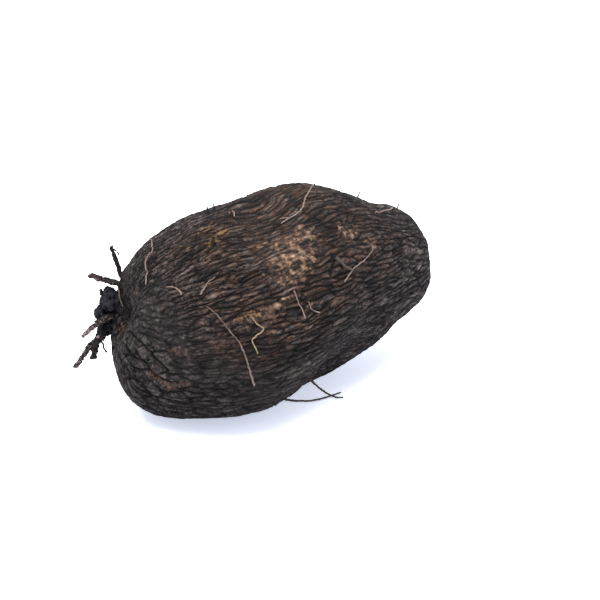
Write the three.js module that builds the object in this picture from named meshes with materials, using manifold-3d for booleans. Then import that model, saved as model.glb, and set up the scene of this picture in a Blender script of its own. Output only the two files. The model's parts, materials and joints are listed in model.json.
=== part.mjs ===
import * as THREE from 'three';
import Module from 'manifold-3d';

// A whole purple yam lying on its side: crown end at -X, tail end at +X.
// Millimetres, +Z up, with the surface it lies on at z = 0.
// A place on the skin is given as [along, around]: along runs from 0 at the crown to 1 at the
// tail, and around is in degrees, with 90 at the top, 180 at the front (-Y) and 270 underneath.

const wasm = await Module();
wasm.setup();

// Cross-sections from crown to tail: x, y and z of the middle, half width, half height
const SECTIONS = [
  [-75, 20, 49, 0, 0],
  [-76.5, 18, 46.5, 16, 16],
  [-68, 8, 44, 37, 37],
  [-40, 1, 47.5, 50, 48],
  [-4, 0, 50, 50, 51.5],
  [32, 5, 50.5, 42, 47.5],
  [62, 9, 51, 33, 34],
  [86, 11, 49.5, 22, 22.5],
  [95.5, 10, 48, 0, 0],
];

// Broad humps and hollows: x, y and z of the middle, height, reach
const SWELLINGS = [
  [14, 2, 103, 3, 15],
  [80, 9, 72, 3.5, 8],
  [-77, 3, 27, 8.8, 14],
  [-76, 28, 58, -7, 13],
  [16, -34, 12, -12, 20],
];

// The line inside the tuber that swellings are pushed away from
const CORE = { from: -35, to: 55, y: 3, z: 49 };

// Where the part's origin lies in the coordinates above: the middle of the finished length and width
const ORIGIN = new THREE.Vector3(1.44, 0.12, 0);

// Bark: ridges run from crown to tail, one to every two columns of the net, with dashes of crevice between
const COLUMNS = 104;
const ROWS = 36;
const RIDGE_HEIGHT = 0.8;
const CREVICE_DEPTH = 1.3;
const END_FADE = 1.6;
const CREVICE_RUN = 4;
const PLATE_ROWS = 3;
const PLATE_COLUMNS = 4;
const SWAY = [{ size: 0.04, along: 14, around: 2 }, { size: 0.03, along: 26, around: -3 }];

// The woody knot at the crown, in its own directions: out of the end, towards the front, and up
const CROWN = new THREE.Vector3(-74.2, 32.8, 45);
const CROWN_OUT = new THREE.Vector3(-0.829, 0.559, 0);
const CROWN_FRONT = new THREE.Vector3(-0.559, -0.829, 0);
const KNOT_RADII = { out: 7, front: 11, up: 14 };
const KNOB_COUNT = 11;
const FIBRE_COUNT = 8;

const RELIEF_SEED = 5;
const KNOT_SEED = 12;
const ROOTLET_SEED = 31;

const STUB_SIDES = 5;
const ROOTLET_SIDES = 3;
const ROOTLET_RADIUS = 0.7;
const ROOTLET_TIP = 0.5;

function seededDraws(seed) {
  let state = seed;
  return () => {
    state = (state * 1664525 + 1013904223) % 4294967296;
    return state / 4294967296;
  };
}

// The smooth form

function mirrored([x, y, z, halfWidth, halfHeight]) {
  return [x, y, z, -halfWidth, -halfHeight];
}

function catmullRom(a, b, c, d, t) {
  return 0.5 * (2 * b + (c - a) * t + (2 * a - 5 * b + 4 * c - d) * t ** 2
    + (3 * b - a - 3 * c + d) * t ** 3);
}

function sectionAt(along) {
  const last = SECTIONS.length - 1;
  const place = THREE.MathUtils.clamp(along, 0, 1) * last;
  const i = Math.min(Math.floor(place), last - 1);
  const before = i > 0 ? SECTIONS[i - 1] : mirrored(SECTIONS[1]);
  const after = i < last - 1 ? SECTIONS[i + 2] : mirrored(SECTIONS[last - 1]);
  return SECTIONS[i].map((value, k) =>
    catmullRom(before[k], value, SECTIONS[i + 1][k], after[k], place - i));
}

function smoothSkin(along, around) {
  const [x, y, z, halfWidth, halfHeight] = sectionAt(along);
  const angle = THREE.MathUtils.degToRad(around);
  const point = new THREE.Vector3(x, y + halfWidth * Math.cos(angle), z + halfHeight * Math.sin(angle));
  const core = new THREE.Vector3(THREE.MathUtils.clamp(point.x, CORE.from, CORE.to), CORE.y, CORE.z);
  const away = point.clone().sub(core).normalize();
  for (const [middleX, middleY, middleZ, height, reach] of SWELLINGS) {
    const gap = point.distanceTo(new THREE.Vector3(middleX, middleY, middleZ));
    point.addScaledVector(away, height * Math.exp(-(gap ** 2) / (2 * reach ** 2)));
  }
  return point;
}

function outwards(along, around) {
  const step = 0.004;
  const turn = 1;
  const inside = THREE.MathUtils.clamp(along, 2 * step, 1 - 2 * step);
  const roundStep = smoothSkin(inside, around + turn).sub(smoothSkin(inside, around - turn));
  const alongStep = smoothSkin(inside + step, around).sub(smoothSkin(inside - step, around));
  return roundStep.cross(alongStep).normalize();
}

function skinPoint([along, around], lift) {
  return smoothSkin(along, around).addScaledVector(outwards(along, around), lift);
}

// The bark: a net over the form, whose columns sway and whose points rise on ridges and sink in crevices

function columnsAt(row) {
  const along = row / ROWS;
  if (along < 0.1 || along > 0.94) return COLUMNS / 4;
  if (along < 0.22 || along > 0.84) return COLUMNS / 2;
  return COLUMNS;
}

function swayed(along, around) {
  const angle = THREE.MathUtils.degToRad(around);
  let sway = 0;
  for (const wave of SWAY) {
    sway += wave.size * Math.sin(wave.along * along + wave.around * angle);
  }
  return around + THREE.MathUtils.radToDeg(sway);
}

// The lower bulge at the crown end is cracked across as well, into plates
function isPlated(along, around) {
  return along > 0.15 && along < 0.42 && around > 175 && around < 300;
}

function makeBark() {
  const draw = seededDraws(RELIEF_SEED);
  const runStart = Array.from({ length: COLUMNS }, () => Math.floor(draw() * CREVICE_RUN));
  return (row, column) => {
    const along = row / ROWS;
    const around = (360 * column) / columnsAt(row);
    const roughness = draw();
    const strength = Math.min(1, END_FADE * 4 * along * (1 - along));
    const stagger = (PLATE_ROWS - 1) * Math.floor(column / PLATE_COLUMNS);
    const acrossCrack = isPlated(along, around) && (row + stagger) % PLATE_ROWS === 0;
    const lengthwiseCrack = column % 2 === 1 && (row + runStart[column]) % CREVICE_RUN !== 0;
    if (acrossCrack || lengthwiseCrack) return -CREVICE_DEPTH * strength * (0.6 + 0.4 * roughness);
    return RIDGE_HEIGHT * strength * (0.3 + 0.7 * roughness);
  };
}

function stitch(faces, lower, upper) {
  const ratio = upper.length / lower.length;
  const count = Math.min(lower.length, upper.length);
  const low = (k) => lower[k % lower.length];
  const up = (k) => upper[k % upper.length];
  for (let k = 0; k < count; k++) {
    if (ratio === 1) {
      faces.push(low(k), low(k + 1), up(k), low(k + 1), up(k + 1), up(k));
    } else if (ratio === 2) {
      faces.push(low(k), up(2 * k + 1), up(2 * k), low(k), low(k + 1), up(2 * k + 1));
      faces.push(low(k + 1), up(2 * k + 2), up(2 * k + 1));
    } else {
      faces.push(low(2 * k), low(2 * k + 1), up(k), low(2 * k + 1), up(k + 1), up(k));
      faces.push(low(2 * k + 1), low(2 * k + 2), up(k + 1));
    }
  }
}

function makeBody() {
  const bark = makeBark();
  const points = [];
  const faces = [];
  const rings = [];
  const add = (point) => points.push(point) - 1;
  const crownPole = add(smoothSkin(0, 0));
  for (let row = 1; row < ROWS; row++) {
    const along = row / ROWS;
    const ring = [];
    for (let column = 0; column < columnsAt(row); column++) {
      const around = swayed(along, (360 * column) / columnsAt(row));
      ring.push(add(skinPoint([along, around], bark(row, column))));
    }
    rings.push(ring);
  }
  const tailPole = add(smoothSkin(1, 0));
  const firstRing = rings[0];
  const lastRing = rings[rings.length - 1];
  firstRing.forEach((point, k) => faces.push(crownPole, firstRing[(k + 1) % firstRing.length], point));
  for (let k = 1; k < rings.length; k++) stitch(faces, rings[k - 1], rings[k]);
  lastRing.forEach((point, k) => faces.push(point, lastRing[(k + 1) % lastRing.length], tailPole));
  return solidOf(points, faces);
}

// Closed meshes become solids that can be joined and cut

function solidOf(points, faces) {
  const vertProperties = new Float32Array(points.flatMap((point) => point.toArray()));
  return new wasm.Manifold(new wasm.Mesh({ numProp: 3, vertProperties, triVerts: new Uint32Array(faces) }));
}

// A root: a tapering closed tube along a smooth curve through the points given
function makeRoot(curvePoints, startRadius, endRadius, sides, steps) {
  const curve = new THREE.CatmullRomCurve3(curvePoints);
  const frames = curve.computeFrenetFrames(steps, false);
  const points = [];
  const faces = [];
  for (let step = 0; step <= steps; step++) {
    const radius = THREE.MathUtils.lerp(startRadius, endRadius, step / steps);
    for (let side = 0; side < sides; side++) {
      const angle = (2 * Math.PI * side) / sides;
      const point = curve.getPointAt(step / steps);
      point.addScaledVector(frames.normals[step], radius * Math.cos(angle));
      point.addScaledVector(frames.binormals[step], radius * Math.sin(angle));
      points.push(point);
    }
  }
  const ring = (step) => Array.from({ length: sides }, (_, side) => step * sides + side);
  for (let step = 0; step < steps; step++) {
    stitch(faces, ring(step), ring(step + 1));
  }
  const end = ring(steps);
  for (let side = 1; side < sides - 1; side++) {
    faces.push(0, side + 1, side);
    faces.push(end[0], end[side], end[side + 1]);
  }
  return solidOf(points, faces);
}

// The crown: a knot of small woody knobs with broken root stubs and fibres

function crownPoint([out, front, up]) {
  return CROWN.clone().addScaledVector(CROWN_OUT, out).addScaledVector(CROWN_FRONT, front)
    .add(new THREE.Vector3(0, 0, up));
}

function makeKnob(middle, radii, draw) {
  const ball = new THREE.IcosahedronGeometry(1, 1);
  const corners = ball.attributes.position;
  const seen = new Map();
  const points = [];
  const faces = [];
  for (let k = 0; k < corners.count; k++) {
    const corner = new THREE.Vector3().fromBufferAttribute(corners, k);
    const key = corner.toArray().map((value) => value.toFixed(3)).join();
    if (!seen.has(key)) {
      const size = 0.82 + 0.36 * draw();
      seen.set(key, points.length);
      points.push(crownPoint([
        middle[0] + corner.x * radii.out * size,
        middle[1] + corner.y * radii.front * size,
        middle[2] + corner.z * radii.up * size,
      ]));
    }
    faces.push(seen.get(key));
  }
  return solidOf(points, faces);
}

// Root stubs on the crown, as [out, front, up] from the middle of the knot
const STUBS = [
  { points: [[-8, -7, 14], [-4.6, -7, 18.5], [-3.6, -7, 22.5], [-0.2, -7, 35]], from: 1.5, to: 0.9 },
  { points: [[-0.6, -7, 33], [-2.2, -7, 32.2], [-3.8, -6.8, 30]], from: 0.5, to: 0.4 },
  { points: [[-7, -4, 15], [-2.8, -3, 17], [5.1, -3, 19.2], [10.8, -3, 21.3]], from: 1.5, to: 1.1 },
  { points: [[-5, -1, 1.5], [1.1, 5.5, 2.9], [6.4, 6, -0.6], [14.6, 5, -7.9]], from: 1.6, to: 1 },
  { points: [[3, 2, -6], [10.5, 2, -12.9], [14.2, 2, -18.1], [19, 2.5, -25]], from: 1.5, to: 1.1 },
  { points: [[4, 3, -8], [7.6, 3, -10.8], [8.9, 3, -16.4], [9.6, 3, -20.4]], from: 1.7, to: 1.4 },
  { points: [[3, 3, -7], [5.1, 4, -10.3], [4.2, 4, -13], [2.6, 4, -16.6]], from: 0.7, to: 0.5 },
  { points: [[-6, -8, 17], [-3.2, -4, 14.9], [-4.2, 1.8, 11], [-7, 4, 6.5]], from: 0.7, to: 0.6 },
];

function makeCrown() {
  const draw = seededDraws(KNOT_SEED);
  const pieces = [makeKnob([0, 0, 0], KNOT_RADII, draw)];
  for (let k = 0; k < KNOB_COUNT; k++) {
    const turn = (2 * Math.PI * (k + 0.5 * draw())) / KNOB_COUNT;
    const spread = 0.45 + 0.5 * draw();
    const size = 2.6 + 2 * draw();
    const middle = [
      3 + 4 * draw() * (1.2 - spread),
      KNOT_RADII.front * spread * Math.cos(turn),
      KNOT_RADII.up * spread * Math.sin(turn),
    ];
    pieces.push(makeKnob(middle, { out: size, front: size, up: size }, draw));
  }
  for (const stub of STUBS) {
    pieces.push(makeRoot(stub.points.map(crownPoint), stub.from, stub.to, STUB_SIDES, 6));
  }
  for (let k = 0; k < FIBRE_COUNT; k++) {
    const turn = (2 * Math.PI * (k + draw())) / FIBRE_COUNT;
    const reach = 6 + 3 * draw();
    const base = [2, 0.6 * KNOT_RADII.front * Math.cos(turn), 0.6 * KNOT_RADII.up * Math.sin(turn)];
    const tip = [6 + 0.5 * reach, base[1] + reach * Math.cos(turn), base[2] + reach * Math.sin(turn)];
    const middle = [6, (base[1] + tip[1]) / 2 + draw() - 0.5, (base[2] + tip[2]) / 2];
    pieces.push(makeRoot([base, middle, tip].map(crownPoint), 0.8, 0.5, ROOTLET_SIDES, 3));
  }
  return pieces;
}

// Rootlets seen on the upper and front skin, each as the places that it passes over
const ROOTLETS = [
  [[0.615, 84], [0.57, 98], [0.54, 104], [0.525, 110], [0.49, 114], [0.475, 115]],
  [[0.5, 112.5], [0.495, 110], [0.488, 109]],
  [[0.32, 57], [0.28, 83], [0.262, 88], [0.24, 94], [0.203, 112]],
  [[0.24, 124], [0.255, 126], [0.263, 130], [0.265, 134]],
  [[0.33, 130], [0.315, 132], [0.305, 135], [0.295, 138]],
  [[0.297, 146], [0.31, 153], [0.323, 163], [0.338, 173], [0.355, 192], [0.365, 201]],
  [[0.36, 158], [0.37, 164], [0.378, 167], [0.362, 170], [0.357, 172], [0.362, 176], [0.365, 180]],
  [[0.443, 152], [0.445, 159], [0.448, 162], [0.453, 168]],
  [[0.463, 160], [0.465, 164], [0.472, 166], [0.482, 168]],
  [[0.655, 144], [0.632, 148], [0.61, 151], [0.58, 153], [0.562, 156], [0.55, 158]],
  [[0.54, 144], [0.557, 150], [0.575, 154]],
];

// Broken root ends that stand straight out of the skin: place and length
const SPIKES = [
  { at: [0.405, 78], length: 4 },
  { at: [0.422, 75], length: 3 },
  { at: [0.422, 92], length: 2.5 },
  { at: [0.83, 92], length: 5 },
  { at: [0.715, 88], length: 2.5 },
  { at: [0.3, 232], length: 3.5 },
  { at: [0.38, 224], length: 3 },
  { at: [0.42, 222], length: 3 },
];

// Rootlets on the far side and the tail, drawn at random: how many, and the band of skin they start in
const HIDDEN_ROOTLETS = { count: 14, along: [0.24, 0.84], around: [-50, 68] };
const SKIN_LENGTH = 228;
const ROOTLET_STEP = 5;

// Two thin roots leave the underside at the front and lie on the floor
const FLOOR_ROOTS = [
  [[-12, -8, 6], [-4, -13, 1.5], [2, -18, 1], [8, -21, 1.1], [17, -21, 1], [24, -20.5, 1.1]],
  [[8, -11, 14], [10.5, -14, 8.5], [14, -18.5, 4], [18, -23, 1.2], [21.5, -26, 1]],
];

function makeRootletOverSkin(places) {
  const points = places.map((place, k) => skinPoint(place, k === 0 ? 0 : 1));
  points.unshift(skinPoint(places[0], -2.5));
  points[points.length - 1] = skinPoint(places[places.length - 1], 1.8);
  return makeRoot(points, ROOTLET_RADIUS, ROOTLET_TIP, ROOTLET_SIDES, 2 + places.length);
}

function makeHiddenRootlet(draw) {
  const { along, around } = HIDDEN_ROOTLETS;
  const place = [
    THREE.MathUtils.lerp(along[0], along[1], draw()),
    THREE.MathUtils.lerp(around[0], around[1], draw()),
  ];
  const places = [[...place]];
  let heading = 2 * Math.PI * draw();
  const curl = draw() - 0.5;
  const stepCount = 3 + Math.floor(3 * draw());
  for (let step = 0; step < stepCount; step++) {
    heading += curl + 0.8 * (draw() - 0.5);
    const radius = sectionAt(place[0])[3];
    place[0] += (ROOTLET_STEP * Math.cos(heading)) / SKIN_LENGTH;
    place[1] += THREE.MathUtils.radToDeg((ROOTLET_STEP * Math.sin(heading)) / radius);
    places.push([...place]);
  }
  return makeRootletOverSkin(places);
}

function makeSpike({ at, length }) {
  const bend = new THREE.Vector3(0.12 * length, 0, 0.15 * length);
  const points = [skinPoint(at, -2.5), skinPoint(at, length / 2), skinPoint(at, length).add(bend)];
  return makeRoot(points, 0.9, ROOTLET_TIP, ROOTLET_SIDES, 3);
}

function makeRootlets() {
  const draw = seededDraws(ROOTLET_SEED);
  const pieces = ROOTLETS.map(makeRootletOverSkin);
  for (let k = 0; k < HIDDEN_ROOTLETS.count; k++) pieces.push(makeHiddenRootlet(draw));
  for (const spike of SPIKES) pieces.push(makeSpike(spike));
  for (const route of FLOOR_ROOTS) {
    const points = route.map(([x, y, z]) => new THREE.Vector3(x, y, z));
    pieces.push(makeRoot(points, 0.9, 0.6, STUB_SIDES, 10));
  }
  return pieces;
}

// The tuber, cut flat where it rests

function makeFloorCutter() {
  const box = new THREE.BoxGeometry(400, 400, 100);
  box.translate(0, 0, -50);
  const corners = box.attributes.position;
  const points = [];
  const seen = new Map();
  const faces = Array.from(box.index.array, (k) => {
    const corner = new THREE.Vector3().fromBufferAttribute(corners, k);
    const key = corner.toArray().join();
    if (!seen.has(key)) seen.set(key, points.push(corner) - 1);
    return seen.get(key);
  });
  return solidOf(points, faces);
}

function makeTuber() {
  let solid = makeBody();
  for (const piece of [...makeCrown(), ...makeRootlets()]) solid = solid.add(piece);
  solid = solid.subtract(makeFloorCutter());
  const whole = solid.decompose().sort((a, b) => b.volume() - a.volume())[0];
  const { vertProperties, triVerts } = whole.getMesh();
  const geometry = new THREE.BufferGeometry();
  geometry.setAttribute('position', new THREE.BufferAttribute(new Float32Array(vertProperties), 3));
  geometry.setIndex(new THREE.BufferAttribute(new Uint32Array(triVerts), 1));
  geometry.translate(-ORIGIN.x, -ORIGIN.y, -ORIGIN.z);
  geometry.computeVertexNormals();
  const bark = new THREE.MeshStandardMaterial({ color: 0x3a2f28, roughness: 0.92, metalness: 0 });
  const tuber = new THREE.Mesh(geometry, bark);
  tuber.name = 'tuber';
  return tuber;
}

const yam = new THREE.Group();
yam.add(makeTuber());

export default yam;
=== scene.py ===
# %% [markdown]
# # A purple yam, lying on its side
#
# A yam is one swollen root: a dark, wrinkled bark over a fat body, a black woody knot at one end
# where the stems stood, broken root stubs on that knot, and thin pale rootlets lying over the skin.
# The CAD part already holds its size and place. Here the looks are made round it, piece by piece.

import itertools
import json
import math

import bpy
import numpy as np
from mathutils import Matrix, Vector, noise

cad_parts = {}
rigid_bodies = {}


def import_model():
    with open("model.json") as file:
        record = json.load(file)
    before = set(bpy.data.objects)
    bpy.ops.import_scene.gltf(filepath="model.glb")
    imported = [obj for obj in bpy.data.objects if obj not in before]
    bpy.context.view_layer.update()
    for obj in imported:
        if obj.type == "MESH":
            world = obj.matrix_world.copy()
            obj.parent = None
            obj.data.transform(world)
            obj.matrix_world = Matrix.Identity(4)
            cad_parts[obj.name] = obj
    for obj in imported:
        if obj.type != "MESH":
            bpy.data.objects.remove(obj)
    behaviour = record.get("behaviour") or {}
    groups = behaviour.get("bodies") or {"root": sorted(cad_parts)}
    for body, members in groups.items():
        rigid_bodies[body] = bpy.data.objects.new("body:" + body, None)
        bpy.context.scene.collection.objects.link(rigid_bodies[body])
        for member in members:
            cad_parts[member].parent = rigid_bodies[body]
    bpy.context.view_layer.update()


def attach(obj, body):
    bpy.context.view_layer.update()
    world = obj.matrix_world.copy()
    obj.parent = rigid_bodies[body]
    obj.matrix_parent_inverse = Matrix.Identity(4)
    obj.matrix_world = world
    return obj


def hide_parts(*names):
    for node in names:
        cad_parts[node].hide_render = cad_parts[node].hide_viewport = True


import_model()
MM = 0.001

# %% [markdown]
# ## The camera
#
# The camera comes first, so that every later step can be judged in the same view. It looks at the
# yam's crown end from the front left and a little from above, with a long lens, which keeps the far
# tail nearly as large as the near crown. A lens is found from how far away the camera stands and how
# much of the object one pixel of a 600 pixel picture covers.

# %% Place the camera
PICTURE_SIDE = 600
SENSOR_WIDTH = 36
CAMERA_DISTANCE = 0.9
PIXEL_SIZE = 0.49 * MM
CAMERA_AZIMUTH = math.radians(-34)
CAMERA_ELEVATION = math.radians(21)
CAMERA_AIM = Vector((7.48, -6.57, 49.07)) * MM


def from_round_angles(azimuth, elevation):
    """The direction that points from the object to a place at those angles."""
    level = math.cos(elevation)
    return Vector((math.sin(azimuth) * level, -math.cos(azimuth) * level, math.sin(elevation)))


camera_back = from_round_angles(CAMERA_AZIMUTH, CAMERA_ELEVATION)
bpy.ops.object.select_all(action="DESELECT")
bpy.ops.object.camera_add(location=CAMERA_AIM + CAMERA_DISTANCE * camera_back)
camera = bpy.context.object
camera.name = "camera"
camera.rotation_euler = (-camera_back).to_track_quat("-Z", "Y").to_euler()
camera.data.sensor_width = SENSOR_WIDTH
camera.data.lens = SENSOR_WIDTH * CAMERA_DISTANCE / (PICTURE_SIDE * PIXEL_SIZE)
camera.data.clip_start = 0.01
bpy.context.scene.camera = camera
print("lens in mm:", round(camera.data.lens, 1))

# %% [markdown]
# ## The form of the tuber
#
# The body is a lathe-like form whose axis wanders: nine cross-sections from crown to tail, each with
# its own middle, half width and half height, and a smooth curve through them. A few broad swellings
# and hollows are then pushed out and in, each with its place, height and reach. The same rule made
# the CAD solid, so the skin that is modelled here fits it. A place on the skin is given by two
# numbers: along, from 0 at the crown to 1 at the tail, and around, an angle with 90 degrees at the
# top and 180 at the front.

# %% The cross-sections
SECTIONS = MM * np.array([
    [-75, 20, 49, 0, 0],
    [-76.5, 18, 46.5, 16, 16],
    [-68, 8, 44, 37, 37],
    [-40, 1, 47.5, 50, 48],
    [-4, 0, 50, 50, 51.5],
    [32, 5, 50.5, 42, 47.5],
    [62, 9, 51, 33, 34],
    [86, 11, 49.5, 22, 22.5],
    [95.5, 10, 48, 0, 0],
])


def smooth_between(a, b, c, d, t):
    """A smooth curve from b to c, as t goes from 0 to 1, that comes from a and goes on to d."""
    return 0.5 * (2 * b + (c - a) * t + (2 * a - 5 * b + 4 * c - d) * t**2 + (3 * b - a - 3 * c + d) * t**3)


def sections_at(along):
    """The cross-sections at those places, on a smooth curve through the ones that are given."""
    before, after = SECTIONS[1].copy(), SECTIONS[-2].copy()
    before[3:] *= -1
    after[3:] *= -1
    rows = np.vstack([before, SECTIONS, after])
    last = len(SECTIONS) - 1
    place = np.clip(along, 0, 1) * last
    first = np.minimum(place.astype(int), last - 1)
    t = (place - first)[:, None]
    return smooth_between(*(rows[first + k] for k in range(4)), t)


print("tuber length in mm:", round(np.ptp(SECTIONS[:, 0]) / MM, 1))

# %% The smooth skin over the cross-sections
SWELLINGS = MM * np.array([
    [14, 2, 103, 3, 15],
    [80, 9, 72, 3.5, 8],
    [-77, 3, 27, 8.8, 14],
    [-76, 28, 58, -7, 13],
    [16, -34, 12, -12, 20],
])
CORE_FROM, CORE_TO = -35 * MM, 55 * MM
CORE_Y, CORE_Z = 3 * MM, 49 * MM
PART_ORIGIN = MM * np.array([1.44, 0.12, 0])


def smooth_skin(along, around):
    """Points of the skin without its bark. A swelling pushes them away from a core line in the body."""
    x, y, z, half_width, half_height = sections_at(along).T
    points = np.stack([x, y + half_width * np.cos(around), z + half_height * np.sin(around)], axis=1)
    middle = [np.clip(x, CORE_FROM, CORE_TO), np.full_like(x, CORE_Y), np.full_like(x, CORE_Z)]
    core = np.stack(middle, axis=1)
    away = points - core
    away /= np.linalg.norm(away, axis=1, keepdims=True)
    for *middle, height, reach in SWELLINGS:
        gap = np.linalg.norm(points - middle, axis=1, keepdims=True)
        points = points + away * height * np.exp(-gap**2 / (2 * reach**2))
    return points


def outwards(along, around):
    """The direction that points straight out of the smooth skin."""
    step, turn = 0.004, math.radians(1)
    inside = np.clip(along, 2 * step, 1 - 2 * step)
    round_step = smooth_skin(inside, around + turn) - smooth_skin(inside, around - turn)
    along_step = smooth_skin(inside + step, around) - smooth_skin(inside - step, around)
    out = np.cross(round_step, along_step)
    return out / np.linalg.norm(out, axis=1, keepdims=True)


print("swellings and hollows:", len(SWELLINGS))

# %% [markdown]
# ## The bark
#
# The bark of a yam is a web of wavy ridges that run from crown to tail. Each ridge is a long narrow
# scale, sharp dark crevices part it from its neighbours, and on the lower bulge near the crown the
# bark cracks across as well, into plates. A texture that is only painted would look flat, so the
# ridges are real shape. They are the cells of a Voronoi pattern on the unrolled skin, stretched along
# the body: the line between two cells is a crevice, and the cell between the lines a rounded ridge.

# %% Cells with cracks between them
def scatter(cells, seed):
    """Random numbers from 0 to 1 that belong to the whole-number cells of a grid."""
    mixed = np.sin(cells @ [12.9898, 78.233] + seed) * 43758.5453
    return mixed - np.floor(mixed)


def cells_at(flow, girth, size, seed):
    """How far each place is from the nearest crack between cells, in mm, and its cell's own number."""
    count = round(girth / size[1])
    size = np.array([size[0], girth / count])
    places = flow / size
    corner = np.floor(places)

    def middle_and_own(step):
        cell = corner + step
        cell_there = np.stack([cell[:, 0], cell[:, 1] % count], axis=1)
        middle = cell + np.stack([scatter(cell_there, seed), scatter(cell_there, seed + 1)], axis=1)
        return middle, scatter(cell_there, seed + 2)

    near, mine, own = np.full(len(places), 9.0), np.zeros_like(places), np.zeros(len(places))
    for step in itertools.product((-1, 0, 1), repeat=2):
        middle, number = middle_and_own(step)
        gap = np.linalg.norm(places - middle, axis=1)
        closer = gap < near
        near = np.where(closer, gap, near)
        mine = np.where(closer[:, None], middle, mine)
        own = np.where(closer, number, own)
    crack = np.full(len(places), 9.0)
    for step in itertools.product((-2, -1, 0, 1, 2), repeat=2):
        normal = middle_and_own(step)[0] - mine
        length = np.linalg.norm(normal / size, axis=1)
        away = ((mine + normal / 2 - places) * normal).sum(axis=1) / np.maximum(length, 1e-9)
        crack = np.where(length > 1e-6, np.minimum(crack, away), crack)
    return crack, own


print("two cells' own numbers:", scatter(np.array([[0, 1], [0, 2]]), 1).round(2))

# %% [markdown]
# ## Noise, soft steps and soft patches
#
# The bark differs from place to place: plates low at the crown, scuffed spots, calmer areas. Each of
# these is a sum of soft patches on the skin, each given by its middle and its reach. They could be
# painted on the mesh by hand, but patches with numbers are easier to move and to read.

# %% Noise and soft patches of skin
SKIN_LENGTH = 228
DRUM = 50


def noise_at(points):
    return np.array([noise.noise(point) for point in points.tolist()])


def waves_at(points, size, reach, offset):
    """Noise with waves of that size, up to about that reach, set off from other noise by its offset."""
    return reach * noise_at(points / np.array(size) + offset)


def ramp(values, low, high):
    """0 below low, 1 above high, and a smooth step between."""
    t = np.clip((values - low) / (high - low), 0, 1)
    return t * t * (3 - 2 * t)


def patch(along, around, middle, reach):
    """1 in the middle of a soft patch of skin and 0 far away. Middle is (along, degrees), reach is in mm."""
    turn = np.angle(np.exp(1j * (around - math.radians(middle[1]))))
    far = ((along - middle[0]) * SKIN_LENGTH / reach[0]) ** 2 + (turn * DRUM / reach[1]) ** 2
    return np.exp(-far / 2)


def stain(along, around, patches):
    """Where any of those soft patches lies, from 0 to 1."""
    return np.clip(sum(patch(along, around, *one) for one in patches), 0, 1)


print("unrolled skin in mm:", SKIN_LENGTH, "by", round(math.tau * DRUM))

# %% [markdown]
# ## The flow of the bark
#
# On the real yam the ridges wander, and on its hump they bend round in arcs. So a place on the skin
# is first carried a little way round and along, by a slow, a middling and a quick noise, and the
# pattern is read there. A noise is given by the size of its waves in mm, how far it reaches and its
# offset. On the hump a swirl turns the flow as well.

# %% Bend the flow
SIDEWAYS_BENDS = [((26, 17, 17), 3.4, 7), ((10, 7, 7), 1.7, 3), ((4.5, 4, 4), 0.8, 5)]
LENGTHWAYS_BEND = ((26, 17, 17), 6, 19)
SWIRL_PATCH = ((0.455, 101), (12, 11))
SWIRL_TURN = math.radians(-12)


def flow_at(along, around, drum):
    """Places in the flow of the bark, in mm: on the unrolled skin, and on the drum that it rolls up to."""
    swirled = around + SWIRL_TURN * patch(along, around, *SWIRL_PATCH)
    rolled = np.column_stack([along * SKIN_LENGTH, drum * np.cos(swirled), drum * np.sin(swirled)])
    turned = swirled + sum(waves_at(rolled, *bend) for bend in SIDEWAYS_BENDS) / drum
    pushed = rolled[:, 0] + waves_at(rolled, *LENGTHWAYS_BEND)
    unrolled = np.stack([pushed, drum * turned], axis=1)
    return unrolled, np.column_stack([pushed, drum * np.cos(turned), drum * np.sin(turned)])


print("noises that bend the flow sideways:", len(SIDEWAYS_BENDS))

# %% [markdown]
# ## Scales and plates
#
# Two kinds of cell make the bark. Scales are long and narrow with short wrinkles on them, and plates
# are shorter, wider and nearly flat. A crevice has sloping sides, as wide as is given for its kind.
# Where the body narrows to its ends, the unrolled skin would squeeze the cells, so there they are read
# on a drum half or a quarter as wide, and one drum gives way to the next between two half widths.

# %% Read scales and plates
SCALE_SIZE = (12, 2.7)
WRINKLE_SIZE = (3.4, 1.6)
PLATE_SIZE = (7.5, 4.4)
SCALE_CREVICE, PLATE_CREVICE, WRINKLE_CREVICE = 0.7, 0.6, 0.5
ROUNDNESS = 0.8
WIDE_BODY = (33, 37)
NARROW_BODY = (17, 19)


def ridge(crack, crevice):
    """0 in a crack and 1 where its crevice ends, with a rounded edge."""
    return np.clip(crack / crevice, 0, 1) ** ROUNDNESS


def scales_at(unrolled, girth):
    """Ridges as long scales with short wrinkles: their height, 0 to 1, and each scale's own number."""
    crack, tone = cells_at(unrolled, girth, SCALE_SIZE, 1)
    wrinkle, wrinkle_tone = cells_at(unrolled, girth, WRINKLE_SIZE, 11)
    wrinkles = ridge(wrinkle, WRINKLE_CREVICE) * (0.7 + 0.3 * wrinkle_tone)
    return ridge(crack, SCALE_CREVICE) * (0.62 + 0.38 * wrinkles), tone


def plates_at(unrolled, girth):
    """Plates parted by cracks, nearly flat on top: their height and each plate's own number."""
    crack, tone = cells_at(unrolled, girth, PLATE_SIZE, 21)
    wrinkle, _ = cells_at(unrolled, girth, WRINKLE_SIZE, 31)
    top = 0.66 + 0.2 * tone + 0.14 * ramp(wrinkle, 0, WRINKLE_CREVICE)
    return ridge(crack, PLATE_CREVICE) * top, tone


def drums_at(across):
    """Where the skin narrows, the pattern is read on a smaller drum, which keeps its ridges as wide."""
    wide, narrow = ramp(across, *WIDE_BODY), 1 - ramp(across, *NARROW_BODY)
    return {DRUM: wide, DRUM / 2: 1 - wide - narrow, DRUM / 4: narrow}


print("scales round the body:", round(math.tau * DRUM / SCALE_SIZE[1]))

# %% [markdown]
# ## The relief of the bark
#
# Now the cells become height. Scuffed spots are worn smooth, calm areas are half as deep, and the
# relief fades out at both ends, where all ridges meet in a point. Slow lumps keep the body from
# looking turned on a lathe. Next to the height come the guides that the colours will follow.

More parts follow.
